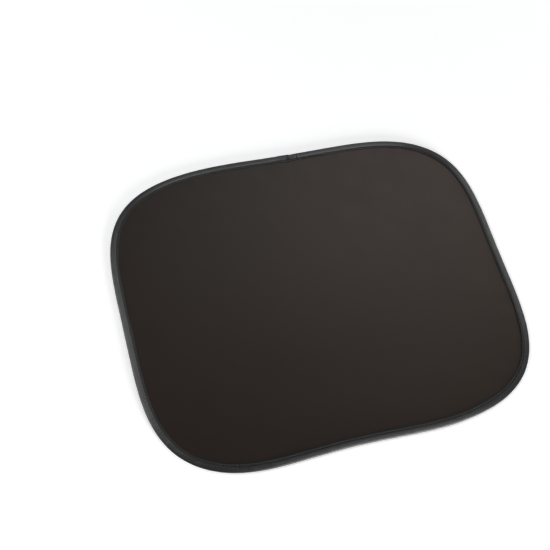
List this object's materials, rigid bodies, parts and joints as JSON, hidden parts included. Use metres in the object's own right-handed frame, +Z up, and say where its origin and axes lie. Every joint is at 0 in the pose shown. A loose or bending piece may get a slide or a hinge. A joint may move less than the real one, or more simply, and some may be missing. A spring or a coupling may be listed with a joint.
{
  "type": "car side window sunshade",
  "caption": "Flat pop-up sunshade for a car side window: dark mesh panel with a static-cling film, held open by a spring wire loop in a sewn edge binding.",
  "frame": {"origin": "centre of the shade's box in plan, on the surface that it lies on", "axes": "+Z up, away from the film side; +X along the long side, with the tape's splice on the +Y side"},
  "size_m": [0.44, 0.354, 0.0037],
  "materials": {
    "shade_mesh": "dark brown-black close knitted mesh with a soft satin sheen",
    "cling_film": "smooth glossy smoke-black static-cling film",
    "binding_tape": "black woven polyester tape, folded and sewn",
    "spring_steel": "drawn spring steel wire",
    "crimp_steel": "crimped steel sleeve"
  },
  "bodies": {
    "root": {"mesh_panel": "shade_mesh", "cling_film": "cling_film", "edge_binding": "binding_tape", "wire_frame": "spring_steel", "wire_sleeve": "crimp_steel"}
  },
  "joints": []
}
